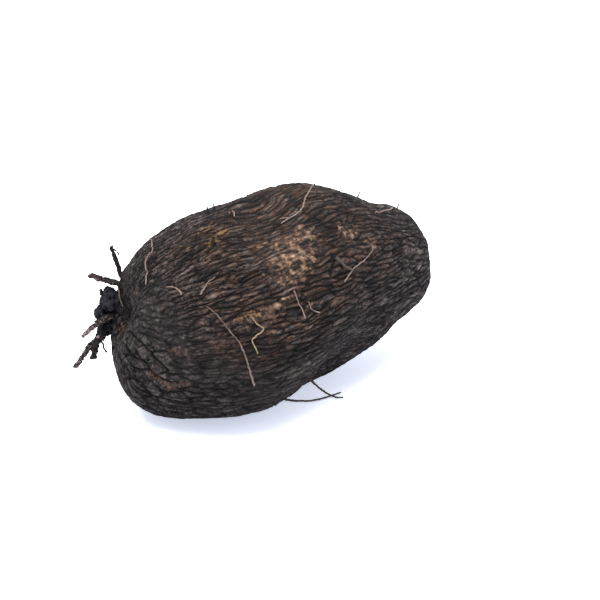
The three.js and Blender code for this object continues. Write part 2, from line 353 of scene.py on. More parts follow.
# %% Raise the bark
SMALLEST_DRUM = 8
SCALE_RELIEF = 1.4 * MM
PLATE_RELIEF = 1.6 * MM
MIDDLE_RISE = 0.62
SCUFFED = 0.8
CALMED = 0.5
LUMP_RELIEF = 1.3 * MM
LUMPS = [((30, 14, 14), 1, 11), ((12, 6, 6), 0.6, 13)]
CROWN_FADE, TAIL_FADE = 0.05, 0.06
PLATED = [((0.22, 215), (24, 24)), ((0.3, 255), (26, 18)), ((0.06, 180), (18, 300)), ((1, 180), (12, 300))]
TAN_PATCHES = [
    ((0.505, 129), (4, 5)), ((0.505, 122), (3, 3)), ((0.47, 135), (5, 4)), ((0.452, 138), (5, 5)),
    ((0.443, 126), (4, 3)), ((0.435, 141), (5, 3)), ((0.48, 132), (4, 4)), ((0.44, 146), (5, 2)),
    ((0.594, 132), (3.4, 5)), ((0.645, 143), (4, 4)), ((0.385, 160), (7, 1.6)), ((0.41, 156), (5, 1.6)),
]
CALM_PATCHES = [
    ((0.18, 140), (13, 20)), ((0.32, 186), (18, 18)), ((0.93, 112), (20, 60)),
    ((0.47, 101), (20, 14)), ((0.6, 116), (30, 30)),
]


def relief_at(along, around):
    """The bark's height over the smooth skin in metres, and what its colours follow."""
    rise, tone = np.zeros_like(along), np.zeros_like(along)
    across = sections_at(along)[:, 3:].mean(axis=1) / MM
    _, flow = flow_at(along, around, np.maximum(across, SMALLEST_DRUM))
    plated = np.clip(1.3 * stain(along, around, PLATED), 0, 1)
    tan, calm = stain(along, around, TAN_PATCHES), stain(along, around, CALM_PATCHES)
    for drum, share in drums_at(across).items():
        here = share > 0
        if not here.any():
            continue
        unrolled, _ = flow_at(along[here], around[here], drum)
        scales, scale_tone = scales_at(unrolled, math.tau * drum)
        plates, plate_tone = plates_at(unrolled, math.tau * drum)
        kind = plated[here]
        rise[here] += share[here] * (scales * (1 - kind) + plates * kind)
        tone[here] += share[here] * np.where(kind > 0.5, plate_tone, scale_tone)
    lumps = sum(waves_at(flow, *lump) for lump in LUMPS)
    ends = ramp(along, 0, CROWN_FADE) * ramp(1 - along, 0, TAIL_FADE)
    depth = (SCALE_RELIEF * (1 - plated) + PLATE_RELIEF * plated) * (1 - SCUFFED * tan) * (1 - CALMED * calm)
    height = (depth * (rise - MIDDLE_RISE) + LUMP_RELIEF * lumps) * ends
    return height, {"rise": rise, "tone": tone, "plated": plated, "tan": tan, "calm": calm, "flow": flow}


def skin_at(along, around):
    """Finished skin: points in metres in the part's frame, outward directions, and the colour guides."""
    out = outwards(along, around)
    height, guides = relief_at(along, around)
    points = smooth_skin(along, around) + out * height[:, None] - PART_ORIGIN
    return points, out, guides


hump, _, _ = skin_at(np.array([0.45]), np.radians([90]))
print("the hump's height in mm:", round(hump[0, 2] / MM, 1))

# %% [markdown]
# ## The skin's mesh
#
# Ridges run along the yam, so the mesh needs more faces round the body than along it, and a ball of
# rings and segments has its faces laid out just so. Its poles go to the two ends. The rings stand
# a little closer near the crown, and the segments on the side that is seen most. Each corner is then
# moved to its place on the skin, as a sculptor would push it there.

# %% Read and move the corners of a mesh
def deselect_all():
    if bpy.context.object and bpy.context.object.mode != "OBJECT":
        bpy.ops.object.mode_set(mode="OBJECT")
    bpy.ops.object.select_all(action="DESELECT")


def corners_of(piece):
    corners = np.empty(3 * len(piece.data.vertices))
    piece.data.vertices.foreach_get("co", corners)
    return corners.reshape(-1, 3)


def move_corners(piece, corners):
    piece.data.vertices.foreach_set("co", corners.ravel())
    piece.data.update()


def directions_of(piece):
    """Which way each corner faces."""
    directions = np.empty(3 * len(piece.data.vertices))
    piece.data.vertices.foreach_get("normal", directions)
    return directions.reshape(-1, 3)


def keep_guide(piece, name, values):
    """A guide is an attribute of the mesh that its material reads."""
    kind = "FLOAT" if values.ndim == 1 else "FLOAT_VECTOR"
    guide = piece.data.attributes.new(name, kind, "POINT")
    guide.data.foreach_set("value" if values.ndim == 1 else "vector", values.astype(np.float32).ravel())


def count_triangles(piece):
    return sum(len(face.vertices) - 2 for face in piece.data.polygons)


# %% Blow a ball up to the tuber
SEGMENTS = 480
RINGS = 206
SEEN_SIDE = math.radians(150)
CROWDING = 0.28
CROWN_CROWDING = 1.2


def even_along(shares):
    """The places along the skin that lie at those shares of its length."""
    along = np.linspace(0, 1, 400)
    x, _, z, _, half_height = sections_at(along).T
    lengths = np.hypot(np.diff(x), np.diff(z + half_height)) + np.hypot(np.diff(x), np.diff(z - half_height))
    return np.interp(shares, np.concatenate([[0], np.cumsum(lengths)]) / lengths.sum(), along)


deselect_all()
bpy.ops.mesh.primitive_uv_sphere_add(segments=SEGMENTS, ring_count=RINGS, radius=1)
skin = bpy.context.object
skin.name = "skin"
ball = corners_of(skin)
turn = np.arctan2(ball[:, 1], ball[:, 0])
skin_along = even_along((np.arccos(np.clip(-ball[:, 2], -1, 1)) / math.pi) ** CROWN_CROWDING)
skin_around = turn - CROWDING * np.sin(turn - SEEN_SIDE)
skin_points, skin_out, skin_guides = skin_at(skin_along, skin_around)
skin_points[:, 2] = np.maximum(skin_points[:, 2], 0)
move_corners(skin, skin_points)
bpy.ops.object.shade_smooth()
print("skin:", count_triangles(skin), "triangles")

# %% [markdown]
# ## Where the skin is stained, and where light and shade are painted on it
#
# The bark is darkest in its crevices, as painted shade, and browner on its ridges. Some patches are
# scuffed down to a tan inner bark, and a few spots are rust or yellow. A few paler patches on the hump,
# the tail and the upper front are painted light, and the bark is made darker towards the underside as
# painted shade. Each stain is a soft patch, kept as a guide on the mesh, and the material later breaks
# its edge up with noise.

# %% Keep the colour guides on the mesh
STAINS_AND_PAINTED_LIGHT = {
    # pale: paler patches on the hump, the tail and the upper front, painted light where the top is lit.
    "pale": [((0.9, 112), (26, 60)), ((0.54, 99), (12, 12)), ((0.37, 136), (20, 16))],
    "rust": [
        ((0.056, 300), (3, 18)), ((0.23, 176), (4.5, 2.6)), ((0.193, 203), (3.2, 3)),
        ((0.222, 207), (2.6, 2.2)), ((0.248, 202), (2.8, 2.2)), ((0.317, 171), (5, 4)),
        ((0.215, 141), (1, 1)), ((0.378, 162), (3, 2)), ((0.39, 158), (3, 2)), ((0.162, 110), (3, 6)),
    ],
    "gold": [
        ((0.052, 304), (4, 22)), ((0.365, 95), (3, 1.5)), ((0.385, 104), (4, 2)), ((0.355, 109), (3, 1.5)),
        ((0.36, 159), (4, 2)),
    ],
    "warm": [
        ((0.42, 150), (20, 16)), ((0.46, 132), (26, 24)), ((0.64, 138), (22, 16)), ((0.37, 102), (16, 8)),
        ((0.525, 90), (10, 9)), ((0.37, 178), (8, 7)),
    ],
}
for name, patches in STAINS_AND_PAINTED_LIGHT.items():
    skin_guides[name] = stain(skin_along, skin_around, patches)
# Painted shade: the bark is made darker towards the underside.
skin_guides["under"] = ramp(-skin_out[:, 2], -0.1, 0.6)
for name, values in skin_guides.items():
    keep_guide(skin, name, values)
print("guides:", [guide.name for guide in skin.data.attributes if not guide.is_internal])

# %% [markdown]
# ## The crown knot
#
# Last year's stems died back to a crumbly black knot in a hollow at the crown. It is a heap of small
# lumps that have grown together. Balls are put where the lumps are, joined, and remeshed on a fine
# grid, which melts them into one closed surface. Cracks and noise then make it ragged, like charcoal.

# %% Where the crown is, and how to add and roughen a lump
CROWN = MM * np.array([-74.2, 32.8, 45]) - PART_ORIGIN
CROWN_WAYS = np.array([[-0.829, 0.559, 0], [-0.559, -0.829, 0], [0, 0, 1]])
KNOT_HEAPS = [
    ([1, -1, 8.8], [4.1, 8, 5.6]), ([3.9, -1, 2.2], [4.3, 5.5, 4.6]), ([4.5, 0, -5.5], [3, 4.5, 5]),
    ([-1.5, -1, 5], [4.5, 5, 7]), ([0.8, -1, -3.5], [3, 4, 3.5]),
]


def crown_points(places):
    """Places in mm out of the crown, towards the front and up, as points in the part's frame."""
    return CROWN + MM * np.array(places) @ CROWN_WAYS


def add_knob(middle, radii):
    """A ball squashed to those radii in mm along the crown's own directions."""
    bpy.ops.mesh.primitive_ico_sphere_add(subdivisions=3, radius=1)
    knob = bpy.context.object
    move_corners(knob, corners_of(knob) * MM * radii @ CROWN_WAYS + crown_points(middle))
    return knob


def roughen(piece, layers, seed):
    """Pushes each corner in or out. A layer is (size of its lumps, how far they push, noise or chips)."""
    corners = corners_of(piece)
    push = np.zeros(len(corners))
    for size, depth, kind in layers:
        lumps = noise_at(corners / size + seed)
        push += depth * (lumps if kind == "noise" else 0.4 - 3 * np.abs(lumps))
    move_corners(piece, corners + directions_of(piece) * push[:, None])


def random_way(draws, outwards=1):
    """A random direction that doesn't point into the body."""
    way = draws.normal(0, 1, 3)
    way[0] = outwards * abs(way[0])
    return way / np.linalg.norm(way)


def join_pieces(pieces, name):
    deselect_all()
    for piece in pieces:
        piece.select_set(True)
    bpy.context.view_layer.objects.active = pieces[0]
    bpy.ops.object.join()
    bpy.context.object.name = name
    return bpy.context.object


print("crown in mm:", (CROWN / MM).round(1))

# %% Heap up the knot
KNOB_COUNT = 26
KNOB_SIZES = (1, 2.4)
KNOB_OUT = 0.85
KNOT_SEED = 12
KNOT_GRID = 0.42 * MM
KNOT_ROUGHNESS = [(4 * MM, 1.6 * MM, "noise"), (3 * MM, 1.3 * MM, "chips"), (1.1 * MM, 0.35 * MM, "noise")]
deselect_all()
draws = np.random.default_rng(KNOT_SEED)
knobs = [add_knob(middle, np.array(radii)) for middle, radii in KNOT_HEAPS]
for k in range(KNOB_COUNT):
    middle, radii = KNOT_HEAPS[k % len(KNOT_HEAPS)]
    place = np.array(middle) + KNOB_OUT * random_way(draws) * radii
    knobs.append(add_knob(place, draws.uniform(*KNOB_SIZES, 3)))
knot = join_pieces(knobs, "crown_knot")
melt = knot.modifiers.new("melt", "REMESH")
melt.mode = "VOXEL"
melt.voxel_size = KNOT_GRID
bpy.ops.object.modifier_apply(modifier="melt")
roughen(knot, KNOT_ROUGHNESS, 3)
bpy.ops.object.shade_smooth()
print("crown knot:", count_triangles(knot), "triangles")

# %% [markdown]
# ## Roots
#
# Every root here, thick or thin, is made the same way: a curve drawn through a few points, given a
# round section that tapers, and turned into a mesh. Real roots are never even, so their thickness
# wavers. A guide on the mesh runs from 0 at the root's start to 1 at its end, for finishes that
# change along it.

# %% A tapering root along a curve
ROOT_STEP = 0.8 * MM


def smooth_path(points, step):
    """A smooth curve through the points, with a new point about every step."""
    points = np.asarray(points, float)
    rows = np.vstack([2 * points[0] - points[1], points, 2 * points[-1] - points[-2]])
    stretches = []
    for a, b, c, d in zip(rows, rows[1:], rows[2:], rows[3:]):
        count = max(2, round(np.linalg.norm(c - b) / step))
        t = np.linspace(0, 1, count, endpoint=False)[:, None]
        stretches.append(smooth_between(a, b, c, d, t))
    return np.vstack([*stretches, points[-1:]])


def wobble(path, reach, draws):
    """Shifts the points of a path at random, but for its first two and its last."""
    path[2:-1] += draws.normal(0, reach, path[2:-1].shape)
    return path


def add_root(points, thick, thin, draws, waver, corners, bare=0):
    """A root whose radius goes from thick to thin, as one closed mesh."""
    bpy.ops.curve.primitive_nurbs_path_add()
    root = bpy.context.object
    root.data.splines.clear()
    spline = root.data.splines.new("POLY")
    spline.points.add(len(points) - 1)
    radii = np.linspace(thick, thin, len(points)) * (1 + waver * draws.uniform(-1, 1, len(points)))
    for point, place, radius in zip(spline.points, points, radii):
        point.co = (*place, 1)
        point.radius = radius / thick
    root.data.dimensions = "3D"
    root.data.bevel_depth = thick
    root.data.bevel_resolution = corners
    root.data.use_fill_caps = True
    bpy.ops.object.convert(target="MESH")
    root = bpy.context.object
    gaps = np.linalg.norm(corners_of(root)[:, None] - points[None], axis=2)
    keep_guide(root, "way", gaps.argmin(axis=1) / (len(points) - 1))
    keep_guide(root, "bare", np.full(len(gaps), bare))
    return root


def join_roots(roots, name):
    joined = join_pieces(roots, name)
    joined.data.name = name
    bpy.ops.object.mode_set(mode="EDIT")
    bpy.ops.mesh.select_all(action="SELECT")
    bpy.ops.mesh.remove_doubles(threshold=1e-6)
    bpy.ops.mesh.normals_make_consistent(inside=False)
    bpy.ops.object.mode_set(mode="OBJECT")
    bpy.ops.object.shade_smooth()
    return joined


print("points on a 10 mm root:", len(smooth_path([[0, 0, 0], [10 * MM, 0, 0]], ROOT_STEP)))

# %% [markdown]
# ## Root stubs on the crown
#
# The thick roots of the crown have been snapped off. They are dark and gnarled, the lower ones have
# lost most of their bark, and where they broke they show a pale end. Each is given by a few points
# from the middle of the knot, in mm out of the crown, towards the front and up, then its radius at
# both ends and how bare it is.

# %% Break off the crown's roots
STUBS = [
    ([[-8, -7, 14], [-4.6, -7, 18.5], [-3.6, -7, 22.5], [-0.8, -7, 32], [-0.2, -7, 34.8]], 1.5, 0.85, 0),
    ([[-2.4, -7, 26.4], [-1.5, -7, 29], [-0.9, -7, 31]], 1.2, 0.9, 0),
    ([[-0.6, -7, 33], [-2.2, -7, 32.2], [-3.8, -6.8, 30]], 0.48, 0.38, 0.3),
    ([[-7, -4, 15], [-2.8, -3, 17], [1.6, -3, 18.2], [5.1, -3, 19.2], [10.6, -3, 21.2]], 1.5, 1.35, 0.25),
    ([[2.6, -1, 10], [4.7, -1, 12.6], [5.2, -1, 14.4]], 1.4, 0.8, 0),
    ([[-5, -1, 1.5], [-1.3, 3.5, 2.9], [1.1, 5.5, 2.9], [3.5, 6.2, 1.9], [6.4, 6, -0.6], [8.9, 5.6, -2.5],
      [14.4, 5, -7.7]], 1.6, 1.1, 0.35),
    ([[3, 2, -6], [6.9, 2, -10.2], [10.5, 2, -12.9], [14.2, 2, -18.1], [18.7, 2.5, -24.8]], 1.6, 1.2, 0.3),
    ([[4, 3, -8], [7.6, 3, -10.8], [8.9, 3, -16.4], [9.6, 3, -20.2]], 1.8, 1.6, 0.1),
    ([[3, 3, -7], [5.1, 4, -10.3], [4.2, 4, -12.2], [4.3, 4, -14], [2.7, 4, -16.4]], 0.65, 0.35, 0),
    ([[5, 2, -7], [6.7, 5.8, -7.4]], 0.8, 0.55, 0.5),
]
STUB_SEED = 4
STUB_WOBBLE = 0.1
STUB_ROUGHNESS = [(1.6 * MM, 0.4 * MM, "noise"), (0.7 * MM, 0.2 * MM, "noise")]
BREAK_FADE = (0.72 * MM, 1.26 * MM)
draws = np.random.default_rng(STUB_SEED)
deselect_all()
stubs, breaks = [], []
for places, thick, thin, bare in STUBS:
    path = wobble(smooth_path(crown_points(places), ROOT_STEP), STUB_WOBBLE * thick * MM, draws)
    stubs.append(add_root(path, thick * MM, thin * MM, draws, 0.18, 4, bare))
    breaks.append(path[-1])
stubs = join_roots(stubs, "crown_stubs")
roughen(stubs, STUB_ROUGHNESS, 8)
from_break = np.min([np.linalg.norm(corners_of(stubs) - place, axis=1) for place in breaks], axis=0)
keep_guide(stubs, "broken", 1 - ramp(from_break, *BREAK_FADE))
# How much a corner faces down, for the stubs' pale undersides, partly a painted highlight.
keep_guide(stubs, "below", 0.5 - 0.5 * directions_of(stubs)[:, 2])
print("crown stubs:", count_triangles(stubs), "triangles")

# %% [markdown]
# ## Shards of the knot
#
# Short dark fibres and shards stick out of the knot all round, as from a worn brush. Their places
# are drawn at random with a fixed seed, so that every run grows the same ones.

# %% Stick shards in the knot
SHARD_COUNT = 30
SHARD_LENGTHS = (1.8, 4.2)
SHARD_BEND = 0.35
SHARD_RADII = (0.35 * MM, 0.8 * MM)
SHARD_TIP = 0.15 * MM
SHARD_SEED = 9
draws = np.random.default_rng(SHARD_SEED)
deselect_all()
shards = []
for k in range(SHARD_COUNT):
    middle, radii = KNOT_HEAPS[k % len(KNOT_HEAPS)]
    way = random_way(draws, 0.8)
    base = np.array(middle) + 0.8 * way * radii
    tip = draws.uniform(*SHARD_LENGTHS) * way
    bend = draws.normal(0, SHARD_BEND, 3)
    path = smooth_path(crown_points([base, base + 0.6 * tip + bend, base + tip]), ROOT_STEP)
    shards.append(add_root(path, draws.uniform(*SHARD_RADII), SHARD_TIP, draws, 0.25, 1))
shards = join_roots(shards, "crown_shards")
print("crown shards:", count_triangles(shards), "triangles")

# %% [markdown]
# ## Rootlets on the skin
#
# Pale hair-thin rootlets lie over the bark. Each one passes over a few places on the skin, and the
# curve between them is read off the finished skin, so that it follows the ridges. Each is given by
# places (along, degrees round), its radius at both ends and how pale it is. Rootlets on the far
# side, which the photograph doesn't show, are drawn at random.

# %% Lay the rootlets
ROOTLETS = [
    ([[0.61, 84.5], [0.565, 98.5], [0.545, 103.5], [0.53, 108.5], [0.515, 111.5], [0.497, 113],
      [0.472, 115]], 0.36, 0.256, 0.75),
    ([[0.493, 114], [0.484, 112.6], [0.475, 112]], 0.24, 0.2, 0.6),
    ([[0.32, 57], [0.28, 83], [0.262, 88], [0.24, 94], [0.203, 112]], 0.32, 0.336, 0.45),
    ([[0.262, 91], [0.258, 88], [0.253, 86]], 0.2, 0.16, 0.3),
    ([[0.24, 124], [0.255, 126], [0.263, 130], [0.265, 134]], 0.28, 0.4, 0.55),
    ([[0.33, 130], [0.315, 132], [0.305, 135], [0.295, 138]], 0.24, 0.336, 0.55),
    ([[0.297, 146], [0.31, 153], [0.323, 163], [0.338, 173], [0.355, 192], [0.365, 201]], 0.24, 0.48, 0.25),
    ([[0.36, 158], [0.37, 164], [0.378, 167], [0.362, 170], [0.357, 172], [0.365, 180]], 0.304, 0.336, 1),
    ([[0.443, 152], [0.445, 159], [0.448, 162], [0.453, 168]], 0.256, 0.304, 0.75),
    ([[0.463, 160], [0.465, 164], [0.472, 166], [0.482, 168]], 0.224, 0.256, 0.6),
    ([[0.655, 144], [0.632, 148], [0.61, 151], [0.58, 153], [0.562, 156], [0.55, 158]], 0.256, 0.32, 0.6),
    ([[0.705, 116], [0.735, 111.5], [0.762, 105.5], [0.782, 102], [0.8, 98], [0.81, 94]], 0.32, 0.36, 0.8),
    ([[0.418, 91], [0.427, 90], [0.426, 92.5], [0.42, 96]], 0.304, 0.24, 0.9),
]
ROOTLET_SEED = 31
ROOTLET_LIFT = 0.15 * MM
ROOTLET_WOBBLE = 0.1 * MM
ROOTLET_SINK = 1.8 * MM


def path_over_skin(places, lift):
    """A curve that bridges the crevices of the finished skin over the places given, sunk in at its start."""
    places = smooth_path(np.array(places) * [SKIN_LENGTH, 1], ROOT_STEP / MM)
    along, around = places[:, 0] / SKIN_LENGTH, np.radians(places[:, 1])
    height, _ = relief_at(along, around)
    padded = np.pad(height, 2, mode="edge")
    height = np.max([padded[k:k + len(height)] for k in range(5)], axis=0)
    padded = np.pad(height, 1, mode="edge")
    height = 0.5 * height + 0.25 * (padded[:-2] + padded[2:]) + lift
    height[0] -= ROOTLET_SINK
    return smooth_skin(along, around) + outwards(along, around) * height[:, None] - PART_ORIGIN


draws = np.random.default_rng(ROOTLET_SEED)
deselect_all()
rootlets = []
for places, thick, thin, paleness in ROOTLETS:
    path = wobble(path_over_skin(places, ROOTLET_LIFT), ROOTLET_WOBBLE, draws)
    rootlets.append(add_root(path, thick * MM, thin * MM, draws, 0.25, 1, paleness))
print("rootlets that the photograph shows:", len(rootlets))

# %% Let others grow on the far side
HIDDEN_COUNT = 14
HIDDEN_ALONG = (0.24, 0.84)
HIDDEN_AROUND = (-50, 50)
HIDDEN_STEP = 5
HIDDEN_STEPS = (3, 6)
HIDDEN_RADII = (0.3 * MM, 0.45 * MM)
HIDDEN_TIP = 0.25 * MM
HIDDEN_SEED = 8


def hidden_places(draws):
    """The places that a rootlet passes over as it wanders from a random start."""
    place = np.array([draws.uniform(*HIDDEN_ALONG), draws.uniform(*HIDDEN_AROUND)])
    places = [place]
    heading, curl = draws.uniform(0, math.tau), draws.uniform(-0.5, 0.5)
    for _ in range(draws.integers(*HIDDEN_STEPS)):
        heading += curl + draws.uniform(-0.4, 0.4)
        across = sections_at(place[:1])[0, 3] / MM
        turn = math.degrees(math.sin(heading) / across)
        place = place + HIDDEN_STEP * np.array([math.cos(heading) / SKIN_LENGTH, turn])
        places.append(place)
    return places


draws = np.random.default_rng(HIDDEN_SEED)
for _ in range(HIDDEN_COUNT):
    path = path_over_skin(hidden_places(draws), ROOTLET_LIFT)
    thick, paleness = draws.uniform(*HIDDEN_RADII), draws.uniform(0.3, 0.8)
    rootlets.append(add_root(path, thick, HIDDEN_TIP, draws, 0.2, 1, paleness))
rootlets = join_roots(rootlets, "rootlets")
print("rootlets:", count_triangles(rootlets), "triangles")

# %% [markdown]
# ## Dark roots and spikes
#
# A few roots are as dark as the bark: broken ends that stand up like thorns, a grey one that lies
# over the front, and two thin ones that leave the underside and lie on the table.

# %% Add the dark roots
SPIKES = [
    ((0.405, 78), 4), ((0.422, 75), 3), ((0.422, 92), 1.5), ((0.83, 92), 3), ((0.715, 88), 2.5),
    ((0.3, 232), 3.5), ((0.38, 224), 3), ((0.42, 222), 3),
]
TABLE_ROOTS = MM * np.array([
    [[-12, -8, 6], [-4, -13, 1.5], [2, -18, 1], [8, -21, 1.1], [17, -21, 1], [24, -20.5, 1.1]],
    [[8, -11, 14], [9, -12.5, 11], [10.5, -14, 8.5], [14, -18.5, 4], [18, -23, 1.2], [21.5, -26, 1]],
])
GREY_ROOT = [[0.54, 144], [0.557, 150], [0.575, 154]]
RIM_ROOT = [[-4.4, -6.8, 16.8], [-3.2, -4, 14.9], [-3.8, -0.2, 13.4], [-4.2, 1.8, 11], [-6, 4.2, 7.3]]
SPIKE_SINK = 1.5 * MM
SPIKE_STEP = 0.5 * MM
SPIKE_LEAN = np.array([0.12, 0, 0.15])
DARK_SEED = 21


def spike_path(place, length):
    """A short path that rises out of the skin and leans a little."""
    (foot,), (out,), _ = skin_at(np.array([place[0]]), np.radians([place[1]]))
    rise = length * MM * out
    tip = foot + rise + length * MM * SPIKE_LEAN
    return smooth_path([foot - SPIKE_SINK * out, foot + 0.5 * rise, tip], SPIKE_STEP)


draws = np.random.default_rng(DARK_SEED)
deselect_all()
dark_roots = [add_root(spike_path(*spike), 0.6 * MM, 0.25 * MM, draws, 0.2, 1) for spike in SPIKES]
for route in TABLE_ROOTS:
    path = smooth_path(route - PART_ORIGIN, ROOT_STEP)
    path[2:-1, :2] += draws.normal(0, 0.12 * MM, (len(path) - 3, 2))
    dark_roots.append(add_root(path, 0.7 * MM, 0.4 * MM, draws, 0.15, 2, 0.2))
dark_roots.append(add_root(path_over_skin(GREY_ROOT, 0.3 * MM), 0.75 * MM, 0.6 * MM, draws, 0.3, 2, 0.15))
rim_path = smooth_path(crown_points(RIM_ROOT), ROOT_STEP)
dark_roots.append(add_root(rim_path, 0.4 * MM, 0.3 * MM, draws, 0.3, 2, 0.3))
dark_roots = join_roots(dark_roots, "dark_roots")
print("dark roots:", count_triangles(dark_roots), "triangles")

# %% [markdown]
# ## Shader maths
#
# Materials are built from nodes. Two small helpers keep that readable. A Wire is a number that flows
# between nodes, and Python's own + - * / on it add the Math nodes. A Finish is one material, with a
# method that adds any node, and others for noise, cracks, colours and bumps.

# %% A number that flows between nodes
class Wire:
    """A number on its way between shader nodes."""

    def __init__(self, finish, socket):
        self.finish = finish
        self.socket = socket

    def maths(self, operation, *values, clamp=False):
        settings = {"operation": operation, "use_clamp": clamp}
        return self.finish.number("ShaderNodeMath", settings, dict(enumerate(values)))

    def __add__(self, other):
        return self.maths("ADD", self, other)

    __radd__ = __add__

    def __mul__(self, other):
        return self.maths("MULTIPLY", self, other)

    __rmul__ = __mul__

    def __sub__(self, other):
        return self.maths("SUBTRACT", self, other)

    def __rsub__(self, other):
        return self.maths("SUBTRACT", other, self)

    def __truediv__(self, other):
        return self.maths("DIVIDE", self, other)

    def between(self, low, high):
        """0 below low, 1 above high, and an even slope between."""
        return self.maths("ADD", (self - low) * (1 / (high - low)), 0, clamp=True)


# %% A material
class Finish:
    """One material of the yam."""

    def __init__(self, name):
        self.material = bpy.data.materials.new(name)
        self.material.use_nodes = True
        self.shader = self.material.node_tree.nodes["Principled BSDF"]

    def feed(self, socket, value):
        if isinstance(value, Wire):
            value = value.socket
        if isinstance(value, bpy.types.NodeSocket):
            self.material.node_tree.links.new(value, socket)
        else:
            socket.default_value = value

    def give(self, name, value):
        """Sets the shader's input of that name."""
        self.feed(self.shader.inputs[name], value)

    def node(self, kind, settings, inputs):
        node = self.material.node_tree.nodes.new(kind)
        for name, value in settings.items():
            if name == "stops":
                self.set_stops(node.color_ramp, value)
            else:
                setattr(node, name, value)
        for key, value in inputs.items():
            self.feed(node.inputs[key], value)
        return node

    def set_stops(self, ramp_of_node, stops):
        while len(ramp_of_node.elements) < len(stops):
            ramp_of_node.elements.new(1)
        for element, (place, colour) in zip(ramp_of_node.elements, stops):
            element.position = place
            element.color = (*colour, 1)

    def number(self, kind, settings, inputs):
        return Wire(self, self.node(kind, settings, inputs).outputs[0])

    def guide(self, name):
        """A guide that the mesh keeps, as a number."""
        node = self.node("ShaderNodeAttribute", {"attribute_name": name}, {})
        return Wire(self, node.outputs["Fac"])

    def place(self, scale, name=None):
        """Object coordinates, or a vector guide, multiplied by a scale for each direction."""
        if name:
            place = self.node("ShaderNodeAttribute", {"attribute_name": name}, {}).outputs["Vector"]
        else:
            place = self.node("ShaderNodeTexCoord", {}, {}).outputs["Object"]
        return self.vector("MULTIPLY", place, scale)

    def grain(self, place, detail, roughness):
        inputs = {"Vector": place, "Scale": 1.0, "Detail": detail, "Roughness": roughness}
        return self.number("ShaderNodeTexNoise", {}, inputs)

    def specks(self, per_metre, detail, roughness):
        """Noise that is as fine in every direction, with about that many waves in a metre."""
        return self.grain(self.place((per_metre, per_metre, per_metre)), detail, roughness)

    def vector(self, operation, *values, output="Vector"):
        node = self.node("ShaderNodeVectorMath", {"operation": operation}, dict(enumerate(values)))
        return node.outputs[output]

    def amount(self, operation, *values):
        """What Vector Math gives as a number, such as a dot product or a length."""
        return Wire(self, self.vector(operation, *values, output="Value"))

    def cracks(self, size):
        """Cells of that size along and across the flow: mm to a crack, and two numbers of each cell's own."""
        # Each place is jolted by up to 1.6 mm, so that the cracks are ragged
        flow = self.place((1.0, 1.0, 1.0), "flow")
        jolts = self.node("ShaderNodeTexNoise", {}, {"Vector": flow, "Scale": 0.8, "Detail": 2.0})
        flow = self.vector("ADD", flow, self.vector("MULTIPLY", jolts.outputs["Color"], (1.6, 1.6, 1.6)))
        finer = (1 / size[0], 1 / size[1], 1 / size[1])
        place = self.vector("MULTIPLY", flow, finer)
        inputs = {"Vector": place, "Scale": 1.0, "Randomness": 1.0}
        nearest = self.node("ShaderNodeTexVoronoi", {"feature": "F1"}, inputs)
        middle = nearest.outputs["Position"]
        next_middle = self.node("ShaderNodeTexVoronoi", {"feature": "F2"}, inputs).outputs["Position"]
        across = self.vector("SUBTRACT", next_middle, middle)
        halfway = self.vector("MULTIPLY", self.vector("ADD", middle, next_middle), (0.5, 0.5, 0.5))
        gap = self.amount("DOT_PRODUCT", self.vector("SUBTRACT", halfway, place), across)
        out = self.vector("NORMALIZE", self.vector("MULTIPLY", flow, (0.0, 1.0, 1.0)))
        slope = self.vector("MULTIPLY", across, finer)
        lying = self.vector("CROSS_PRODUCT", slope, out)
        own = self.node("ShaderNodeSeparateColor", {}, {0: nearest.outputs["Color"]})
        return gap / self.amount("LENGTH", lying), Wire(self, own.outputs[0]), Wire(self, own.outputs[1])

    def colours(self, amount, stops):
        return self.node("ShaderNodeValToRGB", {"stops": stops}, {0: amount}).outputs[0]

    def mix(self, amount, first, second, blend="MIX"):
        settings = {"data_type": "RGBA", "blend_type": blend}
        return self.node("ShaderNodeMix", settings, {0: amount, 6: first, 7: second}).outputs[2]

    def bump(self, height, depth, below=None):
        inputs = {"Height": height, "Distance": depth, "Strength": 1.0}
        if below is not None:
            inputs["Normal"] = below
        return self.node("ShaderNodeBump", {}, inputs).outputs[0]

    def dress(self, piece):
        piece.data.materials.clear()
        piece.data.materials.append(self.material)


# %% Colours
def shade(code):
    """A colour from its hex code, as the linear numbers that shaders take."""
    parts = [int(code[k:k + 2], 16) / 255 for k in (0, 2, 4)]
    return tuple(part / 12.92 if part <= 0.04045 else ((part + 0.055) / 1.055) ** 2.4 for part in parts)


def solid(code):
    return (*shade(code), 1)


def shades(*stops):
    return [(place, shade(code)) for place, code in stops]


print("a dusty brown:", np.round(shade("655e5a"), 3))

# %% [markdown]
# ## The bark's finish
#
# Colour follows height first: the crevices are painted nearly black, as painted shade, and ridge tops
# a dusty brown. A painted picture would be the usual way, but here everything is read from the guides
# and from noise. Thin cracks, too fine for the mesh, cut the ridges into chips and crumbs with tones of
# their own, and painted shade darkens the cracks. A crack pattern is given by the size of its cells in
# mm, along the ridges and across them.

# %% Guides, cracks and noise that the bark is painted by
CHIPS, PLATES, CRUMBS = (11.0, 2.6), (8.0, 4.6), (1.9, 1.0)
STREAKS, BANDS = (0.22, 1.3, 1.3), (0.045, 0.28, 0.28)

